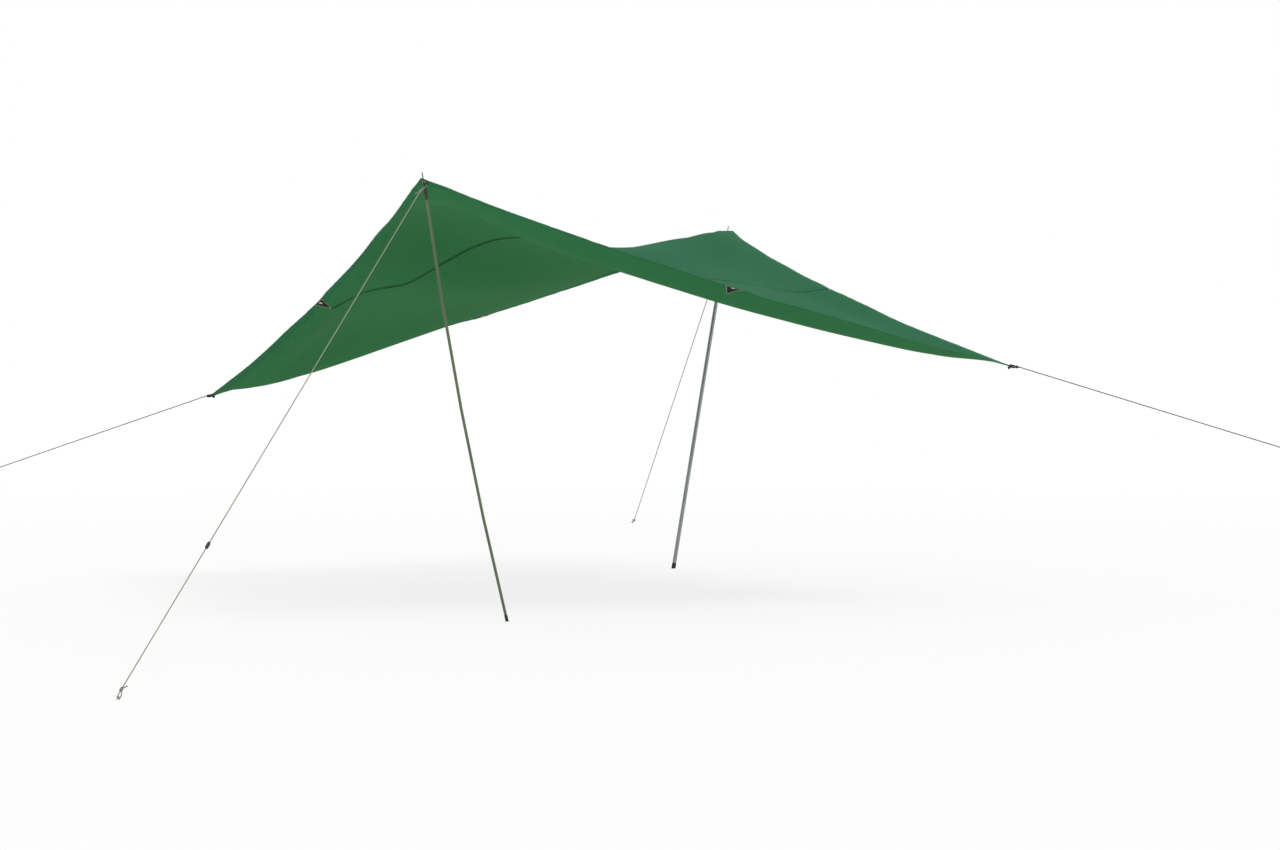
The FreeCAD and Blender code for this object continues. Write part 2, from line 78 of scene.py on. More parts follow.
CORNERS = {"near": (0, 0), "left": (1, 0), "far": (1, 1), "right": (0, 1)}
EDGES = {"near_left": (0.5, 0), "left_far": (1, 0.5), "far_right": (0.5, 1), "right_near": (0, 0.5)}
EYE_INSET = 0.022

CLOTH_THICK = 0.0008
HEM_WIDE = 0.036
HEM_THICK = 0.0020
SEAM_WIDE = 0.024
PATCH_THICK = 0.0012
GAP = 0.0003
CORNER_PATCH = 0.046
EDGE_PATCH_BASE = 0.105
EDGE_PATCH_TIP = 0.010
EDGE_PATCH_DEEP = 0.084

# ---------------------------------------------------------------- the sheet's surface
def mix(a, b, t):
    return a * (1 - t) + b * t


def inward(a, b):
    """Level unit vector, square to the hem from a to b, towards the middle of the sheet."""
    middle = (NEAR + LEFT + FAR + RIGHT) * 0.25
    along = Vector((b.x - a.x, b.y - a.y, 0)).normalized()
    side = Vector((-along.y, along.x, 0))
    return side if side.dot(middle - a) > 0 else -side


INWARD = {
    "near_left": inward(NEAR, LEFT),
    "left_far": inward(LEFT, FAR),
    "far_right": inward(FAR, RIGHT),
    "right_near": inward(RIGHT, NEAR),
}


def hem_shift(name, t):
    """How far a hem stands from the straight line between its corners."""
    sag = SAG[name] * (1 + SKEW[name] * (2 * t - 1))
    return (INWARD[name] * BOW[name] - Vector((0, 0, sag))) * 4 * t * (1 - t)


def trough(name, t, inset):
    """Depth of the hollow inside a hem, at a share t of its length."""
    t = min(1.0, max(0.0, t))
    depth = max(0.0, inset) * SIDE / TROUGH_AT[name]
    along = abs(math.sin(math.pi * t ** TROUGH_LEAN[name])) ** TROUGH_NARROW[name]
    return TROUGH[name] * along * (depth * math.exp(1 - depth)) ** TROUGH_EDGE


def ridge(u, v, middle):
    """Lift of the fold that runs from one pole to the other."""
    along = (u + v) / 2
    aside = u - v - RIDGE_SHIFT - RIDGE_TURN * (along - 0.5)
    high = RIDGE * 4 * along * (1 - along) * (1 + RIDGE_LEAN * (1 - 2 * along))
    return high * math.exp(-(abs(aside / RIDGE_HALF) ** RIDGE_FLAT)) * (1 - (1 - middle) ** RIDGE_END)


def crest(u, v, middle):
    """Lift of the same fold beside the far corner."""
    along = ((u + v) / 2 - CREST_AT) / CREST_LONG
    aside = (u - v) / CREST_HALF
    return CREST * math.exp(-(along ** 2) - aside ** 2) * (1 - (1 - middle) ** CREST_END)


def cloth(u, v):
    """The sheet's smooth shape: u runs from the near corner to the left one, v to the right one."""
    point = mix(mix(NEAR, LEFT, u), mix(RIGHT, FAR, u), v)
    point = point + hem_shift("near_left", u) * (1 - v)
    point = point + hem_shift("far_right", u) * v
    point = point + hem_shift("right_near", v) * (1 - u)
    point = point + hem_shift("left_far", v) * u
    middle = max(0.0, 16 * u * v * (1 - u) * (1 - v))
    lift = DOME * middle * (2 - middle) + ridge(u, v, middle) + crest(u, v, middle)
    lift -= trough("near_left", u, v) + trough("far_right", 1 - u, 1 - v)
    lift -= trough("right_near", v, u) + trough("left_far", v, 1 - u)
    return point + Vector((0, 0, lift))


# Pull folds fan out from each corner: how many lie between the two hems, how high they stand,
# how far from the corner they are highest and where the first one starts.
PULLS = {
    "near": {"count": 5, "high": 0.0050, "at": 0.55, "start": 0.3},
    "left": {"count": 4, "high": 0.0040, "at": 0.60, "start": 1.1},
    "far": {"count": 6, "high": 0.0110, "at": 0.60, "start": 0.8},
    "right": {"count": 4, "high": 0.0040, "at": 0.60, "start": 2.0},
}
PULL_SHARP = 2.2                    # how narrow their crests are
PULL_WANDER = 0.11                  # how far a crest strays from its straight line
PULL_EVEN = 0.65                    # height that all crests share
PULL_UNEVEN = 0.7                   # and how much they differ
PUCKER_HIGH = 0.0016                # cloth drawn up by the stitching along hems and seam
PUCKER_LONG = 0.055
PUCKER_REACH = 0.060
SEAM_PUCKER = 1.4                   # how much more there is along the seam
BILLOW_HIGH = 0.006                 # broad uneven slackness of the middle
BILLOW_SIZE = 2.6
SEEDS = {                           # which piece of noise shapes a hem's waves and its puckers
    "near_left": (13, 11),
    "far_right": (29, 23),
    "right_near": (31, 37),
    "left_far": (47, 41),
}
SEAM_SEED = 53
QUIET = 0.11                        # folds fade out this near an eyelet
WAVE_HIGH = 0.010                   # slow rise and fall of the hems
WAVE_LONG = 0.45
WAVE_REACH = 0.16
RISE = 0.0311                       # lift beside the far corner
RISE_AT = 0.967
RISE_LONG = 0.078
RISE_WIDE = 0.058
RISE_ASIDE = 0.0066                 # towards the hem to the left corner
RISE_TURN = 0.82                    # and how much that changes along it
RISE_CLEAR = 0.060
RIPPLES = ((0.058, 0.018), (0.160, -0.022))     # place and height of two ripples over the seam
RIPPLE_LONG = 0.036
RIPPLE_WIDE = 0.09


def pull_folds(u, v):
    height = 0.0
    for name, (cu, cv) in CORNERS.items():
        pull = PULLS[name]
        across = abs(u - cu) * SIDE
        along = abs(v - cv) * SIDE
        distance = math.hypot(across, along)
        if distance < 1e-6:
            continue
        turn = math.atan2(along, across)
        wander = PULL_WANDER * noise.noise(Vector((turn * 2.2, distance * 0.7, 7 * pull["start"])))
        wave = math.cos(4 * pull["count"] * (turn + wander) + pull["start"])
        narrow = (0.5 + 0.5 * wave) ** PULL_SHARP
        uneven = PULL_EVEN + PULL_UNEVEN * noise.noise(Vector((turn * 5, 3.0, pull["start"])))
        share = distance / pull["at"]
        hems = max(0.0, math.sin(2 * turn)) ** 0.5
        height += pull["high"] * uneven * narrow * hems * share ** 2 * math.exp(2 * (1 - share))
    return height


def puckers(along, inset, seed):
    place = Vector((along * SIDE / PUCKER_LONG, inset * SIDE / PUCKER_REACH, seed))
    fade = math.exp(-((inset * SIDE / PUCKER_REACH) ** 2))
    return PUCKER_HIGH * noise.noise(place) * fade


def hem_wave(along, inset, seed):
    fade = math.exp(-((inset * SIDE / WAVE_REACH) ** 2))
    return WAVE_HIGH * noise.noise(Vector((along * SIDE / WAVE_LONG, 0.5, seed))) * fade


def seam_ripples(u, v):
    height = 0.0
    for place, high in RIPPLES:
        height += high * math.exp(-(((v - place) / RIPPLE_LONG) ** 2))
    return height * math.exp(-(((u - 0.5) / RIPPLE_WIDE) ** 2))


def far_rise(u, v):
    """The cloth stands straight up to its far corner."""
    along = (u + v) / 2 - RISE_AT
    aside = (u - v - RISE_ASIDE - RISE_TURN * along) / RISE_WIDE
    clear = 1 - math.exp(-((math.hypot(1 - u, 1 - v) * SIDE / RISE_CLEAR) ** 4))
    return RISE * clear * math.exp(-((along / RISE_LONG) ** 2) - aside ** 2)


def folds(u, v):
    """Height of the small folds over the smooth shape."""
    height = pull_folds(u, v) + seam_ripples(u, v)
    by_hem = {
        "near_left": (u, v),
        "far_right": (u, 1 - v),
        "right_near": (v, u),
        "left_far": (v, 1 - u),
    }
    for name, (along, inset) in by_hem.items():
        wave_seed, pucker_seed = SEEDS[name]
        height += hem_wave(along, inset, wave_seed) + puckers(along, inset, pucker_seed)
    height += SEAM_PUCKER * puckers(v, abs(u - 0.5), SEAM_SEED)
    middle = max(0.0, 16 * u * v * (1 - u) * (1 - v)) ** 0.5
    place = Vector((u * BILLOW_SIZE, v * BILLOW_SIZE, 2.0))
    height += BILLOW_HIGH * middle * noise.fractal(place, 1.0, 2.2, 3)
    for cu, cv in list(CORNERS.values()) + list(EDGES.values()):
        distance = math.hypot(u - cu, v - cv) * SIDE
        height *= 1 - math.exp(-((distance / QUIET) ** 4))
    return height + far_rise(u, v)


def sheet_point(u, v):
    return cloth(u, v) + Vector((0, 0, folds(u, v)))


def frame_at(u, v, shape=sheet_point):
    """Point and unit normal (upwards) at a place."""
    step = 0.001
    point = shape(u, v)
    along_u = (shape(u + step, v) - point) / step
    along_v = (shape(u, v + step) - point) / step
    normal = along_v.cross(along_u).normalized()
    if normal.z < 0:
        normal.negate()
    return point, normal


# ---------------------------------------------------------------- objects and the camera
def shown(name, data):
    """A new object in the scene for a mesh, curve, lamp or camera."""
    made = bpy.data.objects.new(name, data)
    bpy.context.collection.objects.link(made)
    return made


CAMERA_AT = Vector((-5.004, -11.626, 1.176))
CAMERA_WAY = Vector((0.4415, 0.897, -0.01763))
CAMERA_LENS = 73.4


def make_camera():
    data = bpy.data.cameras.new("camera")
    data.lens = CAMERA_LENS
    data.sensor_width = 36.0
    data.clip_end = 200.0
    camera = shown("camera", data)
    camera.location = CAMERA_AT
    camera.rotation_euler = CAMERA_WAY.to_track_quat("-Z", "Y").to_euler()
    bpy.context.scene.camera = camera


make_camera()


# ---------------------------------------------------------------- shader helpers
class Field:
    """A shader socket that takes part in Python arithmetic."""

    def __init__(self, look, socket):
        self.look = look
        self.socket = socket

    def _maths(self, operation, *values):
        return self.look.node("ShaderNodeMath", {"operation": operation}, list(values))

    def __add__(self, other):
        return self._maths("ADD", self, other)

    def __sub__(self, other):
        return self._maths("SUBTRACT", self, other)

    def __mul__(self, other):
        return self._maths("MULTIPLY", self, other)

    def __pow__(self, other):
        return self._maths("POWER", self, other)

    def __rsub__(self, other):
        return self._maths("SUBTRACT", other, self)

    __radd__ = __add__
    __rmul__ = __mul__

    def sine(self):
        return self._maths("SINE", self)

    def size(self):
        return self._maths("ABSOLUTE", self)

    def highest(self, other):
        return self._maths("MAXIMUM", self, other)

    def between(self, low, high):
        """0 at low, 1 at high, straight between and held beyond."""
        return self.look.node("ShaderNodeMapRange", {"clamp": True},
                              {"Value": self, "From Min": low, "From Max": high})


class Nodes:
    """A node tree and short ways to fill it."""

    def __init__(self, tree):
        self.tree = tree

    def put(self, socket, value):
        if isinstance(value, Field):
            self.tree.links.new(value.socket, socket)
        else:
            if socket.type == "RGBA" and len(value) == 3:
                value = (*value, 1.0)
            socket.default_value = value

    def node(self, kind, settings=None, inputs=None, out=0):
        made = self.tree.nodes.new(kind)
        for key, value in (settings or {}).items():
            setattr(made, key, value)
        pairs = enumerate(inputs) if isinstance(inputs, list) else (inputs or {}).items()
        for key, value in pairs:
            self.put(made.inputs[key], value)
        return Field(self, made.outputs[out])

    def mix_shaders(self, share, first, second, output):
        """Send a mix of two shaders to the output; share is how much of the second there is."""
        mixed = self.tree.nodes.new("ShaderNodeMixShader")
        self.put(mixed.inputs[0], share)
        self.tree.links.new(first.outputs[0], mixed.inputs[1])
        self.tree.links.new(second.outputs[0], mixed.inputs[2])
        self.tree.links.new(mixed.outputs[0], output.inputs[0])

    def place(self):
        return self.node("ShaderNodeTexCoord", out="Object")

    def woven(self):
        """The cloth's own coordinates, in metres along and across the threads."""
        return self.node("ShaderNodeUVMap", {"uv_map": "weave"})

    def parts(self, vector):
        split = self.tree.nodes.new("ShaderNodeSeparateXYZ")
        self.put(split.inputs[0], vector)
        return [Field(self, split.outputs[i]) for i in range(3)]

    def noise(self, where, scale, detail, rough=0.5, stretch=(1, 1, 1)):
        mapped = self.node("ShaderNodeMapping", {"vector_type": "POINT"},
                           {"Vector": where, "Scale": stretch})
        return self.node("ShaderNodeTexNoise", None,
                         {"Vector": mapped, "Scale": scale, "Detail": detail, "Roughness": rough})

    def blend(self, amount, low, high):
        """A mix of two colours: sockets 6 and 7 of the node take them and output 2 gives the mix."""
        mixed = self.tree.nodes.new("ShaderNodeMix")
        mixed.data_type = "RGBA"
        self.put(mixed.inputs["Factor"], amount)
        self.put(mixed.inputs[6], low)
        self.put(mixed.inputs[7], high)
        return Field(self, mixed.outputs[2])


class Look(Nodes):
    """One material and its Principled shader."""

    def __init__(self, name):
        self.material = bpy.data.materials.new(name)
        self.material.use_nodes = True
        super().__init__(self.material.node_tree)
        self.shader = self.tree.nodes["Principled BSDF"]
        self.output = self.tree.nodes["Material Output"]

    def set(self, **values):
        for key, value in values.items():
            self.put(self.shader.inputs[key.replace("_", " ").title()], value)

    def dull(self, level):
        """Weaken the mirror-like part of a cloth or cord."""
        self.shader.inputs["Specular IOR Level"].default_value = level

    def bump(self, height, depth, strength):
        """depth is the height in metres that a height of 1 stands for."""
        self.set(normal=self.node("ShaderNodeBump", None,
                                  {"Height": height, "Distance": depth, "Strength": strength}))


# ---------------------------------------------------------------- materials
def plain_weave(look, pitch):
    """Height of a plain weave, 0 to 1, whose threads lie a pitch apart."""
    across, along, _ = look.parts(look.woven())
    turn = math.pi / pitch
    return (across * turn).sine().size() * 0.5 + (along * turn).sine().size() * 0.5


CLOTH_ROUGH = 0.75
CLOTH_PITCH = 0.0011                # from thread to thread
PATCH_PITCH = 0.0016


def shades(colour, dark, light):
    """A colour at two strengths."""
    return [tuple(min(1.0, c * share) for c in colour) for share in (dark, light)]


def cloth_look(name, colour, through, share):
    """Coated plain weave that lets a share of the light through in another green."""
    look = Look(name)
    where = look.place()
    broad = look.noise(where, scale=1.1, detail=4.0, rough=0.55)
    fine = look.noise(where, scale=14.0, detail=3.0, rough=0.6)
    tone = broad.between(0.25, 0.75) * 0.75 + fine * 0.25
    crease = look.noise(where, scale=6.0, detail=2.5, rough=0.5)
    look.bump(crease * 0.92 + plain_weave(look, CLOTH_PITCH) * 0.08, depth=0.0022, strength=0.4)
    look.set(base_color=look.blend(tone, *shades(colour, 0.90, 1.10)),
             roughness=fine * 0.10 + (CLOTH_ROUGH - 0.05))
    look.dull(0.10)
    glow = look.tree.nodes.new("ShaderNodeBsdfTranslucent")
    look.put(glow.inputs["Color"], through)
    look.mix_shaders(share, look.shader, glow, look.output)
    return look.material


def patch_look():
    look = Look("black patch cloth")
    where = look.place()
    dust = look.noise(where, scale=60.0, detail=4.0, rough=0.6)
    look.bump(plain_weave(look, PATCH_PITCH), depth=0.0004, strength=0.6)
    black, dusty = (0.010, 0.010, 0.008), (0.030, 0.029, 0.024)
    look.set(base_color=look.blend(dust.between(0.35, 0.8), black, dusty), roughness=dust * 0.2 + 0.6)
    look.dull(0.12)
    return look.material


def thread_look(name, colour):
    look = Look(name)
    where = look.place()
    twist = look.noise(where, scale=900.0, detail=2.0)
    look.bump(twist, depth=0.0002, strength=0.5)
    look.set(base_color=look.blend(twist, *shades(colour, 0.8, 1.0)), roughness=0.7)
    return look.material


def cord_look(name, dark, light):
    look = Look(name)
    where = look.place()
    fleck = look.noise(where, scale=700.0, detail=2.0, rough=0.6)
    broad = look.noise(where, scale=5.0, detail=3.0)
    look.bump(fleck, depth=0.0004, strength=0.8)
    tone = fleck * 0.6 + broad * 0.4
    look.set(base_color=look.blend(tone.between(0.3, 0.7), dark, light), roughness=0.7)
    look.dull(0.2)
    return look.material


def tube_look(name, dark, light, metal, rough):
    """Drawn and anodised tube: fine lines along it, small scuffs and a cloudy tone."""
    look = Look(name)
    where = look.place()
    lines = look.noise(where, scale=160.0, detail=3.0, rough=0.6, stretch=(1.0, 1.0, 0.02))
    scuffs = look.noise(where, scale=90.0, detail=5.0, rough=0.7)
    cloud = look.noise(where, scale=3.0, detail=3.0)
    worn = scuffs.between(0.62, 0.80)
    tone = look.blend(cloud.between(0.3, 0.7), dark, light)
    bare = tuple(min(1.0, c * 1.5 + 0.04) for c in light)
    look.set(base_color=look.blend(worn * 0.5, tone, bare), metallic=metal,
             roughness=lines * 0.12 + (rough - 0.06))
    look.bump(lines, depth=0.0001, strength=0.3)
    return look.material


def steel_look(name, dark, light, rough):
    look = Look(name)
    where = look.place()
    grain = look.noise(where, scale=400.0, detail=3.0, rough=0.6)
    cloud = look.noise(where, scale=40.0, detail=4.0, rough=0.6)
    look.set(base_color=look.blend(cloud.between(0.3, 0.7), dark, light), metallic=1.0,
             roughness=grain * 0.2 + (rough - 0.1))
    look.bump(grain, depth=0.0001, strength=0.4)
    return look.material


def moulded_look(name, dark, light, rough):
    look = Look(name)
    where = look.place()
    grain = look.noise(where, scale=1500.0, detail=2.0, rough=0.5)
    scuffs = look.noise(where, scale=120.0, detail=5.0, rough=0.7)
    look.set(base_color=look.blend(scuffs.between(0.55, 0.8), dark, light),
             roughness=scuffs * 0.2 + (rough - 0.1))
    look.bump(grain, depth=0.0002, strength=0.5)
    return look.material


# Cloths: colour, colour of the light that comes through and how much of it does.
CLOTH_LOOK = cloth_look("green coated cloth", (0.021, 0.128, 0.087), (0.29, 0.64, 0.24), 0.40)
HEM_LOOK = cloth_look("doubled green cloth", (0.029, 0.180, 0.086), (0.25, 0.60, 0.20), 0.25)
# The seam tape's colours are painted light: lighter than the cloth's and letting more light through, to
# make up for the light its extra layer stops below the seam and on the top side.
TAPE_PAINTED_LIGHT_LOOK = cloth_look("seam tape cloth painted lighter", (0.036, 0.195, 0.095), (0.50, 0.85, 0.42), 0.50)
# The seam's rolled edge: its near-black colour is painted shade, standing for the shadow line under the
# seam.
SEAM_SHADOW_LOOK = cloth_look("seam edge painted as shadow", (0.005, 0.024, 0.013), (0.010, 0.050, 0.015), 0.05)
PATCH_LOOK = patch_look()
# Threads: their colour. Cords: darkest and lightest colour.
THREAD_LOOK = thread_look("green thread", (0.030, 0.155, 0.068))
PALE_THREAD_LOOK = thread_look("pale thread", (0.62, 0.60, 0.50))
CORD_LOOK = cord_look("black braided cord", (0.010, 0.010, 0.012), (0.030, 0.030, 0.032))
PALE_CORD_LOOK = cord_look("grey braided cord", (0.19, 0.21, 0.16), (0.30, 0.33, 0.26))
# Metals and mouldings: darkest and lightest colour, how metallic a tube is, and how rough they are.
EYELET_LOOK = steel_look("satin eyelet metal", (0.50, 0.48, 0.40), (0.68, 0.66, 0.57), 0.45)
DARK_EYELET_LOOK = steel_look("darkened eyelet metal", (0.10, 0.09, 0.07), (0.20, 0.18, 0.14), 0.5)
SPIKE_LOOK = steel_look("dark spike steel", (0.045, 0.040, 0.034), (0.085, 0.076, 0.064), 0.45)
PEG_LOOK = steel_look("galvanised peg wire", (0.42, 0.42, 0.43), (0.60, 0.60, 0.61), 0.42)
NEAR_TUBE_LOOK = tube_look("olive anodised tube", (0.085, 0.115, 0.065), (0.120, 0.158, 0.090), 0.35, 0.42)
FAR_TUBE_LOOK = tube_look("bright drawn tube", (0.26, 0.27, 0.27), (0.38, 0.39, 0.39), 0.70, 0.45)
SPIGOT_LOOK = tube_look("plain spigot tube", (0.50, 0.51, 0.52), (0.62, 0.63, 0.64), 1.0, 0.30)
FOOT_LOOK = moulded_look("black foot rubber", (0.012, 0.011, 0.010), (0.035, 0.032, 0.028), 0.75)
SLIDER_LOOK = moulded_look("black runner plastic", (0.008, 0.008, 0.009), (0.022, 0.022, 0.023), 0.50)


# ---------------------------------------------------------------- mesh helpers
def mesh_data(name, mesh):
    """Turn a bmesh into a mesh."""
    data = bpy.data.meshes.new(name)
    mesh.to_mesh(data)
    mesh.free()
    return data


def on_canopy(name, data, look):
    """A piece that rides on the canopy."""
    data.materials.append(look)
    piece = shown(name, data)
    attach(piece, "canopy")
    return piece


def finished(name, mesh, look):
    """Turn a bmesh into a smooth piece that rides on the canopy."""
    data = mesh_data(name, mesh)
    for face in data.polygons:
        face.use_smooth = True
    return on_canopy(name, data, look)


def grid(mesh, columns, rows):
    """A grid whose vertices carry their shares of its two sides in x and y."""
    made = bmesh.ops.create_grid(mesh, x_segments=columns, y_segments=rows, size=0.5,
                                 matrix=Matrix.Translation((0.5, 0.5, 0)))
    return made["verts"]


def weave_uv(mesh):
    """Weave coordinates in metres, from vertices that hold shares of the sheet in x and y."""
    layer = mesh.loops.layers.uv.new("weave")
    for face in mesh.faces:
        for corner in face.loops:
            corner[layer].uv = (corner.vert.co.x * FLAT_SIDE, corner.vert.co.y * FLAT_SIDE)


def placed(origin, z_way):
    """Matrix that turns a shape drawn round the Z axis to stand along z_way at origin."""
    z_axis = z_way.normalized()
    y_axis = z_axis.cross(Vector((1, 0, 0))).normalized()
    x_axis = y_axis.cross(z_axis)
    turn = Matrix((x_axis, y_axis, z_axis)).transposed().to_4x4()
    return Matrix.Translation(origin) @ turn


def lathe(profile, steps, matrix, closed=False):
    """Spin a profile of (radius, height) pairs round the Z axis, then place it."""
    mesh = bmesh.new()
    verts = [mesh.verts.new((radius, 0, height)) for radius, height in profile]
    edges = [mesh.edges.new(pair) for pair in zip(verts, verts[1:])]
    if closed:
        edges.append(mesh.edges.new((verts[-1], verts[0])))
    bmesh.ops.spin(mesh, geom=verts + edges, axis=(0, 0, 1), cent=(0, 0, 0),
                   angle=2 * math.pi, steps=steps, use_merge=True)
    bmesh.ops.remove_doubles(mesh, verts=mesh.verts, dist=1e-6)
    bmesh.ops.recalc_face_normals(mesh, faces=mesh.faces)
    bmesh.ops.transform(mesh, matrix=matrix, verts=mesh.verts)
    return mesh


# ---------------------------------------------------------------- guy lines
POLE_FOOT = {"near": Vector((0, 0, 0)), "far": Vector((2.330, 2.805, 0))}
PEG_SPOTS = {
    "near": Vector((-2.500, -2.220, 0)),
    "far": Vector((4.325, 7.460, 0)),
    "left": Vector((-2.760, 6.270, 0)),
    "right": Vector((5.990, -2.570, 0)),
}
CORNER_AT = {"near": NEAR, "left": LEFT, "far": FAR, "right": RIGHT}
CORD_THICK = 0.0045
PEG_LEAN = math.radians(30)
PEG_LOOP_UP = 0.011                 # height of a loop on its peg
LOOP_BELOW = 0.022                  # from the eyelet on a spike down to the loop
LOOP_WIDE = 0.008                   # half the width of a loop
PIN_LOOP_BACK = 0.0115              # how far a loop passes behind the middle of a pin or peg
PEG_LOOP_BACK = 0.0065
LOOP_NEAR = 0.004                   # the first leg is widest this far on the guy line's side
KNOT_OUT = 0.034                    # from a pin or peg to the nearer end of its knot
KNOT_HALF = 0.008                   # half the length of a knot's turns
SIX_THICK = 6 * CORD_THICK          # the line is straight from this far past a knot
LEAVES_PIN = 0.010                  # the line's way down starts this far outside a spike
LOW_LINE = (-0.016, -0.004, 0.008)  # heights of the line's first points at a low corner's eyelet
LOW_KNOT_BELOW = 0.010              # middle of the stopper knot, under that eyelet
EYE_MIDDLE = -0.00075               # middle of an eyelet against the sheet's surface


def eyelet_frame(u, v):
    """Middle and normal of the eyelet inside a corner or the middle of a hem."""
    share = EYE_INSET / SIDE
    u = abs(u - share) if u in (0, 1) else u
    v = abs(v - share) if v in (0, 1) else v
    return frame_at(u, v, cloth)


def peg_way(name):
    """Unit vector up the peg: it leans away from its corner of the shelter."""
    away = PEG_SPOTS[name] - CORNER_AT[name]
    away = Vector((away.x, away.y, 0)).normalized()
    return away * math.sin(PEG_LEAN) + Vector((0, 0, math.cos(PEG_LEAN)))


def peg_eye(name):
    up = peg_way(name)
    return PEG_SPOTS[name] + up * (PEG_LOOP_UP / up.z)


def pole_eye(name):
    """Middle of the eyelet on a pole's spike, and the way up the pole."""
    point, normal = eyelet_frame(*CORNERS[name])
    eye = point + normal * EYE_MIDDLE
    return eye, (eye - POLE_FOOT[name]).normalized()


def loop(eye, pin_way, guy_way, hand, back):
    """The line's end: from its knot, round behind a pin and out again towards the knot."""
    side = pin_way.cross(guy_way).normalized() * hand
    return [
        eye + guy_way * KNOT_OUT - side * (LOOP_WIDE - CORD_THICK),
        eye + guy_way * (KNOT_OUT / 2) + side * (LOOP_WIDE / 2),
        eye + guy_way * LOOP_NEAR + side * LOOP_WIDE,
        eye - guy_way * back + side * LOOP_WIDE,
        eye - guy_way * back - side * LOOP_WIDE,
    ]


def guy_route(name):
    """The guy line's points, its upper fastening and the way down along it."""
    low = peg_eye(name)
    if name in POLE_FOOT:
        eye, pin_way = pole_eye(name)
        high = eye - pin_way * LOOP_BELOW
        guy_way = (low - high).normalized()
        upper = loop(high, pin_way, guy_way, 1, PIN_LOOP_BACK)
        past_knot = PIN_LOOP_BACK + KNOT_OUT + SIX_THICK
    else:
        high, normal = eyelet_frame(*CORNERS[name])
        guy_way = (low - high).normalized()
        upper = [high + normal * height for height in LOW_LINE]
        past_knot = SIX_THICK
    lower = loop(low, peg_way(name), -guy_way, -1, PEG_LOOP_BACK)
    way = (lower[-1] - upper[-1]).normalized()
    middle = [upper[-1] + way * past_knot, lower[-1] - way * (PEG_LOOP_BACK + KNOT_OUT + SIX_THICK)]
    return upper + middle + lower[::-1], high, way


def cord_piece(name, points, look):
    """Smooth stretch of cord with the points as its control points."""
    curve = bpy.data.curves.new(name, "CURVE")
    curve.dimensions = "3D"
    curve.bevel_depth = CORD_THICK / 2
    curve.bevel_resolution = 4
    curve.resolution_u = 8
    curve.use_fill_caps = True
    spline = curve.splines.new("NURBS")
    spline.points.add(len(points) - 1)
    for spot, point in zip(spline.points, points):
        spot.co = (*point, 1)
    spline.order_u = 3
    spline.use_endpoint_u = True
    return on_canopy(name, curve, look)


KNOT_STEPS = 8                      # points in one turn
KNOT_PITCH = 0.92 * CORD_THICK      # from turn to turn
TAIL = ((0.004, 0.006), (0.006, 0.007))         # the tail's two steps, along the line and aside
# Kinds of knot: turns, their radius in thicknesses of the line and the size of the tail.
KNOTS = {"loop": (4, 0.98, 1.0), "stopper": (2.5, 1.15, 0.3), "lashing": (3, 1.25, 0.6)}


def knot(name, kind, centre, way, look):
    """Snug turns of the line's tail round the line, with the tail's end standing out."""
    turns, wide, tail = KNOTS[kind]
    frame_x = way.cross(Vector((0, 0, 1))).normalized()
    frame_y = way.cross(frame_x)
    points = []
    count = round(turns * KNOT_STEPS)
    for i in range(count + 1):
        share = i / count
        angle = 2 * math.pi * turns * share
        round_line = frame_x * math.cos(angle) + frame_y * math.sin(angle)
        points.append(centre + way * ((share - 0.5) * turns * KNOT_PITCH)
                      + round_line * (wide * CORD_THICK))
    for along, aside in TAIL:
        points.append(points[-1] + (way * along + frame_x * aside) * tail)
    return cord_piece(name, points, look)


LASH_KNOT = 0.038                   # from a low corner's eyelet to the knot outside the rim
LASH_RIM = 0.026
LASH_OVER = 0.0048                  # strand over the cloth, and under it
LASH_UNDER = -0.0062
LASHING = (                         # its points: metres outwards and up, thicknesses aside
    (LASH_KNOT, LASH_OVER, 0.7),
    (LASH_RIM, LASH_OVER, 1.0),
    (0.0, LASH_OVER, 0.8),
    (0.0, LASH_UNDER, 0.5),
    (0.0, LASH_UNDER, -0.8),
    (LASH_RIM, LASH_UNDER, -1.0),
    (LASH_KNOT, LASH_OVER, -0.7),
)


def lashing(name, high, normal, way, look):
    """The line's tail at a low corner: over the rim, down through the eyelet and back under."""
    aside = way.cross(normal).normalized() * CORD_THICK
    points = [high + way * out + normal * up + aside * share for out, up, share in LASHING]
    tied = high + normal * LASH_OVER + way * LASH_KNOT
    return [
        cord_piece("lashing_" + name, points, look),
        knot("lashing_knot_" + name, "lashing", tied, way, look),
    ]


def make_guy(name, look):
    route, high, way = guy_route(name)
    piece = cord_piece("guy_" + name, route, look)
    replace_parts(piece, "guy_line_" + name)
    at_peg = route[-5] - way * (PEG_LOOP_BACK + KNOT_OUT + KNOT_HALF)
    knots = [knot("knot_low_" + name, "loop", at_peg, -way, look)]
    if name in POLE_FOOT:
        leaves = high + way * LEAVES_PIN
        at_pin = route[4] + way * (PIN_LOOP_BACK + KNOT_OUT + KNOT_HALF)
        knots.append(knot("knot_high_" + name, "loop", at_pin, way, look))
    else:
        leaves = high
        normal = (route[2] - route[0]).normalized()
        under = high - normal * LOW_KNOT_BELOW
        knots.append(knot("knot_high_" + name, "stopper", under, -normal, look))
        knots += lashing(name, high, normal, way, look)


GUY_LENGTHS = {"near": 3.59, "far": 5.24, "left": 4.13, "right": 4.26}
for guy_name, guy_length in GUY_LENGTHS.items():
    make_guy(guy_name, PALE_CORD_LOOK if guy_name == "near" else CORD_LOOK)


# ---------------------------------------------------------------- pieces laid on the sheet
HEM = HEM_WIDE / SIDE
SLIT = GAP / SIDE
HEM_RUNS = {
    "near_left": (0, 1),
    "far_right": (0, 1),
    "right_near": (HEM + SLIT, 1 - HEM - SLIT),
    "left_far": (HEM + SLIT, 1 - HEM - SLIT),
}


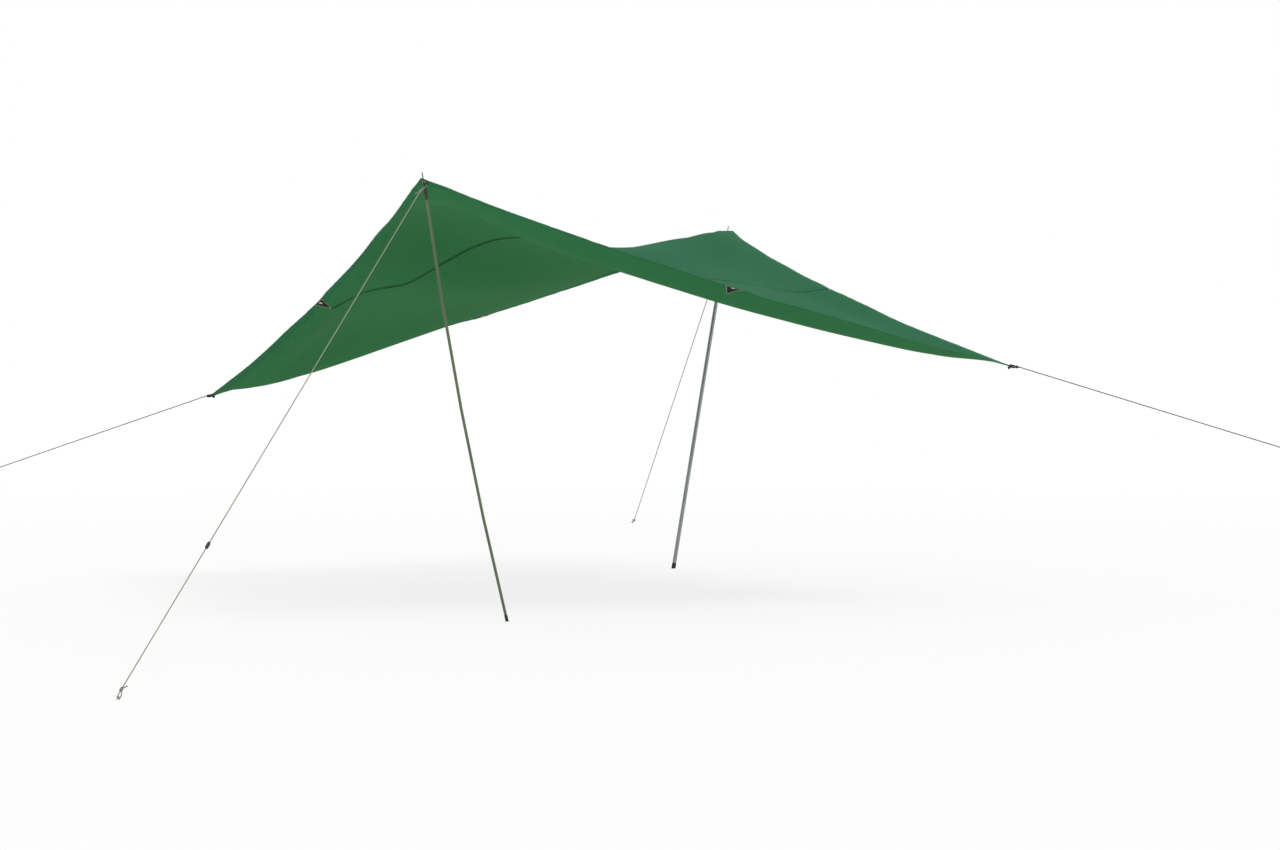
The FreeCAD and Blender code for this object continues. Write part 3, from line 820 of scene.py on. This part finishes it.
def beside(name, along, inset):
    """Shares of the sheet for a place along a hem and inset metres inside the rim."""
    share = inset / SIDE
    return {
        "near_left": (along, share),
        "far_right": (along, 1 - share),
        "right_near": (share, along),
        "left_far": (1 - share, along),
    }[name]


def laid(mesh):
    """Move vertices that hold (share u, share v, height) on to the sheet."""
    weave_uv(mesh)
    frames = {}
    for vert in mesh.verts:
        u, v, height = vert.co
        key = (round(u, 6), round(v, 6))
        if key not in frames:
            frames[key] = frame_at(u, v)
        point, normal = frames[key]
        vert.co = point + normal * height
    bmesh.ops.recalc_face_normals(mesh, faces=mesh.faces)
    return mesh


ROLL = 0.35                         # how much fuller the folded side of a hem is
ROLL_WIDE = 0.005
TUBE_STEPS = 560                    # faces along a hem or the seam
TUBE_RING = 24                      # and round it


def flat_tube(place, wide, thick, level=0.0, roll=0.0, ring=TUBE_RING):
    """Flattened tube laid on the sheet; place(along, inset) gives shares, inset runs 0 to wide."""
    mesh = bmesh.new()
    for vert in grid(mesh, TUBE_STEPS, ring):
        turn = vert.co.y * 2 * math.pi
        across = math.copysign(abs(math.cos(turn)) ** 0.5, math.cos(turn))
        up = math.copysign(abs(math.sin(turn)) ** 0.5, math.sin(turn))
        inset = wide / 2 * (1 - across)
        height = thick / 2 * up * (1 + roll * math.exp(-((inset / ROLL_WIDE) ** 2)))
        vert.co = (*place(vert.co.x, inset), level + height)
    bmesh.ops.remove_doubles(mesh, verts=mesh.verts, dist=1e-7)
    bmesh.ops.holes_fill(mesh, edges=[edge for edge in mesh.edges if edge.is_boundary])
    return laid(mesh)


STITCH = 0.008                      # length of a stitch
STITCH_THICK = 0.0009
STITCH_THIN = 0.25                  # thickness between two stitches, as a share
STITCH_SUNK = 0.9                   # how far the row sinks there
STITCH_STEPS = 4                    # faces along a stitch and round it


def stitch_row(mesh, place, length, level, side, stitch=STITCH, thick=STITCH_THICK):
    """Beaded row of stitches; place(along, aside) gives shares, side is 1 above and -1 below."""
    count = round(length / stitch)
    radius = thick / 2
    for vert in grid(mesh, count * STITCH_STEPS, STITCH_STEPS):
        turn = vert.co.y * 2 * math.pi
        full = abs(math.sin(math.pi * count * vert.co.x)) ** 0.5
        size = radius * mix(STITCH_THIN, 1, full)
        height = level + side * (size * math.sin(turn) + radius * (full - STITCH_SUNK))
        vert.co = (*place(vert.co.x, size * math.cos(turn)), height)


def on_both_sides(mesh, place, length, level):
    for side in (1, -1):
        stitch_row(mesh, place, length, side * level, side)


def closed_rows(mesh):
    bmesh.ops.remove_doubles(mesh, verts=mesh.verts, dist=1e-8)
    return laid(mesh)


# ---------------------------------------------------------------- eyelets and their holes
EYES = {
    "corner": {"hole": 0.0085, "barrel": 0.0100, "flange": 0.0150},
    "edge": {"hole": 0.0050, "barrel": 0.0062, "flange": 0.0100},
}
EYE_TOP = 0.0023                    # heights of a ring's top and underside over the sheet's surface
EYE_LOW = -0.0038
FLANGE = 0.0007                     # thickness of a flange
# Outline of a domed flange: thirds of its width outwards from the hole, and drops from its top as
# shares of its thickness.
FLANGE_OUTLINE = ((0, 1), (0.25, 0.3), (1, 0), (2, 0.2), (2.85, 0.6), (3, 1), (2.8, 1.2))
EYE_STEPS = 40
CUT_STEPS = 24
CUT_REACH = 0.012                   # a hole is cut this far above and below
CUT_LESS = 0.0004                   # and this much smaller than the ring's outside


def eyelet(kind, name, u, v, look=EYELET_LOOK):
    """Rolled ring: a throat through cloth and patch, turned over into a domed flange each side."""
    eye = EYES[kind]
    origin, normal = eyelet_frame(u, v)
    third = (eye["flange"] - eye["hole"]) / 3
    upper = [(eye["hole"] + third * out, EYE_TOP - FLANGE * drop) for out, drop in FLANGE_OUTLINE]
    upper.append((eye["barrel"], EYE_TOP - FLANGE))
    middle = EYE_TOP + EYE_LOW
    lower = [(radius, middle - height) for radius, height in reversed(upper)]
    mesh = lathe(upper + lower, EYE_STEPS, placed(origin, normal), closed=True)
    piece = finished("eyelet_" + name, mesh, look)
    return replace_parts(piece, kind + "_eyelet_" + name)


def pierce(piece, kinds):
    """Cut the eyelets' holes through a piece."""
    for kind, u, v in kinds:
        origin, normal = eyelet_frame(u, v)
        radius = EYES[kind]["barrel"] - CUT_LESS
        profile = [(0, -CUT_REACH), (radius, -CUT_REACH), (radius, CUT_REACH), (0, CUT_REACH)]
        cutter = shown("cutter", mesh_data("cutter", lathe(profile, CUT_STEPS, placed(origin, normal))))
        cut = piece.modifiers.new("hole", "BOOLEAN")
        cut.operation = "DIFFERENCE"
        cut.solver = "EXACT"
        cut.object = cutter
        depsgraph = bpy.context.evaluated_depsgraph_get()
        result = bpy.data.meshes.new_from_object(piece.evaluated_get(depsgraph))
        piece.modifiers.clear()
        piece.data = result
        bpy.data.objects.remove(cutter)
    return piece


def solid(piece, thick):
    """Give a laid grid its thickness."""
    made = piece.modifiers.new("thickness", "SOLIDIFY")
    made.thickness = thick
    made.offset = 0
    return piece


# ---------------------------------------------------------------- canopy
PANEL_COLUMNS = 130                 # faces across a panel, and along it
PANEL_ROWS = 250
PANEL_INSET = 0.94 * HEM            # the panels run a little way into the hems


def panel(name, u_low, u_high):
    mesh = bmesh.new()
    for vert in grid(mesh, PANEL_COLUMNS, PANEL_ROWS):
        vert.co = (mix(u_low, u_high, vert.co.x), mix(PANEL_INSET, 1 - PANEL_INSET, vert.co.y), 0)
    weave_uv(mesh)
    for vert in mesh.verts:
        vert.co = sheet_point(vert.co.x, vert.co.y)
    bmesh.ops.recalc_face_normals(mesh, faces=mesh.faces)
    piece = finished(name, mesh, CLOTH_LOOK)
    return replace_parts(solid(piece, CLOTH_THICK), "canopy_" + name)


HEM_EYES = {
    "near_left": [("corner", 0, 0), ("corner", 1, 0), ("edge", 0.5, 0)],
    "far_right": [("corner", 0, 1), ("corner", 1, 1), ("edge", 0.5, 1)],
    "right_near": [("edge", 0, 0.5)],
    "left_far": [("edge", 1, 0.5)],
}
HEM_ROWS = (0.0035, 0.0310)         # stitch rows, from the rim


def hem(name):
    start, end = HEM_RUNS[name]

    def place(along, inset):
        return beside(name, mix(start, end, along), inset)

    mesh = flat_tube(place, HEM_WIDE, HEM_THICK, roll=ROLL)
    piece = finished("hem_" + name + "_cloth", mesh, HEM_LOOK)
    pierce(piece, HEM_EYES[name])
    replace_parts(piece, "hem_" + name)
    rows = bmesh.new()
    for inset in HEM_ROWS:
        on_both_sides(rows, lambda along, aside: place(along, inset + aside), (end - start) * SIDE,
                      HEM_THICK / 2)
    stitches = finished("stitches_" + name, closed_rows(rows), THREAD_LOOK)
    return [piece, stitches]


TAPE_THICK = 0.0012
TAPE_START = 0.003                  # from an edge patch to the end of the seam tape
SEAM_END = (EDGE_PATCH_DEEP + TAPE_START) / SIDE
SEAM_LEVEL = -(CLOTH_THICK / 2 + GAP + TAPE_THICK / 2)
SEAM_ROLL_WIDE = 0.0032
SEAM_ROLL_THICK = 0.0020
SEAM_ROLL_RING = 12
SEAM_ROLL_FROM = 0.008              # from the join of the panels to the roll
SEAM_ROWS = (-0.0095, 0.0055)       # stitch rows, from that join


def seam():
    """Tape under the join of the panels, the rolled edge beside it and its stitching. The roll's
    near-black colour is painted shade, standing for the shadow line under the seam.
    """
    def beside_join(from_join):
        return lambda along, inset: (0.5 + (inset + from_join) / SIDE, mix(SEAM_END, 1 - SEAM_END, along))

    tape = flat_tube(beside_join(-SEAM_WIDE / 2), SEAM_WIDE, TAPE_THICK, SEAM_LEVEL)
    roll = flat_tube(beside_join(SEAM_ROLL_FROM), SEAM_ROLL_WIDE, SEAM_ROLL_THICK,
                     SEAM_LEVEL - TAPE_THICK, ring=SEAM_ROLL_RING)
    rows = bmesh.new()
    for from_join in SEAM_ROWS:
        on_both_sides(rows, beside_join(from_join), (1 - 2 * SEAM_END) * SIDE,
                      -SEAM_LEVEL + TAPE_THICK / 2)
    pieces = [
        # The tape's colours are painted light, lighter than the cloth's for the light its layer stops.
        finished("centre_seam_cloth", tape, TAPE_PAINTED_LIGHT_LOOK),
        # The roll's near-black colour is painted shade for the seam's shadow line.
        finished("centre_seam_roll", roll, SEAM_SHADOW_LOOK),
        finished("stitches_centre_seam", closed_rows(rows), THREAD_LOOK),
    ]
    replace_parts(pieces[0], "centre_seam_tape")
    return pieces


PATCH_LEVEL = -(HEM_THICK / 2 + GAP + PATCH_THICK / 2)
PATCH_STEPS = 14
RIM_CLEAR = 0.0008                  # from the sheet's rim to a patch
OFF_HEM = 0.008                     # a hem patch steps off the hem over this length


def corner_patch(name, u, v):
    """Square of strong cloth under a corner."""
    side = CORNER_PATCH / SIDE
    margin = RIM_CLEAR / SIDE

    def place(across, along):
        return (abs(u - mix(margin, side, across)), abs(v - mix(margin, side, along)))

    mesh = bmesh.new()
    for vert in grid(mesh, PATCH_STEPS, PATCH_STEPS):
        vert.co = (*place(vert.co.x, vert.co.y), PATCH_LEVEL)
    look, slot = (HEM_LOOK, "hem_binding") if name in ("near", "far") else (PATCH_LOOK, "black_patch")
    piece = finished("corner_patch_" + name + "_cloth", laid(mesh), look)
    pierce(solid(piece, PATCH_THICK), [("corner", u, v)])
    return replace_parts(piece, "corner_patch_" + name)


def edge_patch(name, u, v):
    """Blunt triangle of strong cloth under the middle of a hem, edged with pale stitching."""
    def place(across, depth):
        half = mix(EDGE_PATCH_BASE, EDGE_PATCH_TIP, depth) / 2 / SIDE
        return beside(name, 0.5 + across * half, mix(RIM_CLEAR, EDGE_PATCH_DEEP, depth))

    def level(depth):
        past_hem = min(1.0, max(0.0, (depth * EDGE_PATCH_DEEP - HEM_WIDE) / OFF_HEM))
        return PATCH_LEVEL + past_hem * (HEM_THICK - CLOTH_THICK) / 2

    mesh = bmesh.new()
    for vert in grid(mesh, PATCH_STEPS * 2, PATCH_STEPS * 2):
        depth = vert.co.y
        vert.co = (*place(vert.co.x * 2 - 1, depth), level(depth))
    piece = finished("edge_patch_" + name + "_cloth", laid(mesh), PATCH_LOOK)
    pierce(solid(piece, PATCH_THICK), [("edge", u, v)])
    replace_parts(piece, "edge_patch_" + name)
    return [piece, patch_edging(name)]


EDGING_STITCH = 0.003
EDGING_THICK = 0.0032
EDGING_IN = 0.0015                  # middle of the edging, inside the patch's edge


def patch_edging(name):
    """Close pale stitching round an edge patch, on its underside."""
    base = EDGE_PATCH_BASE / 2 - EDGING_IN
    tip = EDGE_PATCH_TIP / 2 - EDGING_IN
    rim = RIM_CLEAR + EDGING_IN
    deep = EDGE_PATCH_DEEP - EDGING_IN
    corners = [(-base, rim), (base, rim), (tip, deep), (-tip, deep)]
    rows = bmesh.new()
    for start, end in zip(corners, corners[1:] + corners[:1]):
        way = Vector((end[0] - start[0], end[1] - start[1]))
        length = way.length
        way.normalize()

        def place(along, aside, start=start, way=way, length=length):
            spot = Vector(start) + way * (along * length) + Vector((-way.y, way.x)) * aside
            return beside(name, 0.5 + spot.x / SIDE, spot.y)

        stitch_row(rows, place, length, PATCH_LEVEL - PATCH_THICK / 2, -1, EDGING_STITCH, EDGING_THICK)
    return finished("edging_" + name, closed_rows(rows), PALE_THREAD_LOOK)


def make_canopy():
    trim = seam()
    for name in HEM_RUNS:
        trim += hem(name)
    for name, (u, v) in CORNERS.items():
        trim.append(corner_patch(name, u, v))
        trim.append(eyelet("corner", name, u, v, DARK_EYELET_LOOK))
    for name, (u, v) in EDGES.items():
        trim += edge_patch(name, u, v)
        trim.append(eyelet("edge", name, u, v))
    panels = [panel("near_panel", PANEL_INSET, 0.5), panel("far_panel", 0.5, 1 - PANEL_INSET)]
    for piece in panels:
        trim = []


make_canopy()


# ---------------------------------------------------------------- poles, runners and pegs
def paint(names, look):
    for name in names:
        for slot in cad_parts[name].material_slots:
            slot.material = look


for pole, tube in (("near", NEAR_TUBE_LOOK), ("far", FAR_TUBE_LOOK)):
    paint([pole + "_pole_tube_" + str(i) for i in (1, 2, 3, 4)], tube)
    paint([pole + "_pole_spigot_" + str(i) for i in (1, 2, 3)], SPIGOT_LOOK)
    paint([pole + "_pole_foot"], FOOT_LOOK)
    paint([pole + "_pole_spike"], SPIKE_LOOK)
paint(["peg_" + name for name in PEG_SPOTS], PEG_LOOK)
paint(["slider_" + name for name in PEG_SPOTS], SLIDER_LOOK)


# ---------------------------------------------------------------- floor, backdrop and light
def seen_rays(nodes):
    """1 for rays from the camera, a mirror or clear glass, else 0."""
    path = nodes.tree.nodes.new("ShaderNodeLightPath")
    seen = Field(nodes, path.outputs["Is Camera Ray"])
    seen = seen.highest(Field(nodes, path.outputs["Is Glossy Ray"]))
    return seen.highest(Field(nodes, path.outputs["Is Transmission Ray"]))


FLOOR_REACH = 60.0
SHADOW_SHARE = 0.22                 # how strongly shadows show on the white floor
SHADOW_MIDDLE = (1.2, 1.4)          # the ground under the middle of the sheet
SHADOW_FADES = (6.0, 14.0)          # they fade out between these distances from the middle


def make_floor():
    look = Look("floor")
    look.set(base_color=(0.82, 0.82, 0.82), roughness=0.9)
    white = look.tree.nodes.new("ShaderNodeEmission")
    across, along, _ = look.parts(look.place())
    distance = ((across - SHADOW_MIDDLE[0]) ** 2 + (along - SHADOW_MIDDLE[1]) ** 2) ** 0.5
    plain = 1 - (1 - distance.between(*SHADOW_FADES)) * SHADOW_SHARE
    look.mix_shaders(seen_rays(look) * plain, look.shader, white, look.output)
    mesh = bmesh.new()
    bmesh.ops.create_grid(mesh, x_segments=1, y_segments=1, size=FLOOR_REACH)
    data = mesh_data("floor", mesh)
    data.materials.append(look.material)
    shown("floor", data)


SKY = 0.80                          # strength of the light from all round


def make_world():
    world = bpy.data.worlds.new("studio")
    bpy.context.scene.world = world
    world.use_nodes = True
    nodes = Nodes(world.node_tree)
    light = nodes.tree.nodes["Background"]
    white = nodes.tree.nodes.new("ShaderNodeBackground")
    for background, strength in ((light, SKY), (white, 1.0)):
        nodes.put(background.inputs["Color"], (1.0, 1.0, 1.0))
        nodes.put(background.inputs["Strength"], strength)
    nodes.mix_shaders(seen_rays(nodes), light, white, nodes.tree.nodes["World Output"])


def make_sun(name, way, strength, spread, colour):
    data = bpy.data.lights.new(name, "SUN")
    data.energy = strength
    data.angle = math.radians(spread)
    data.color = colour
    shown(name, data).rotation_euler = Vector(way).to_track_quat("-Z", "Y").to_euler()


make_floor()
make_world()
make_sun("key", way=(-0.35, 0.55, -1.0), strength=1.1, spread=25, colour=(1.0, 0.98, 0.95))
bpy.context.scene.view_settings.view_transform = "Standard"
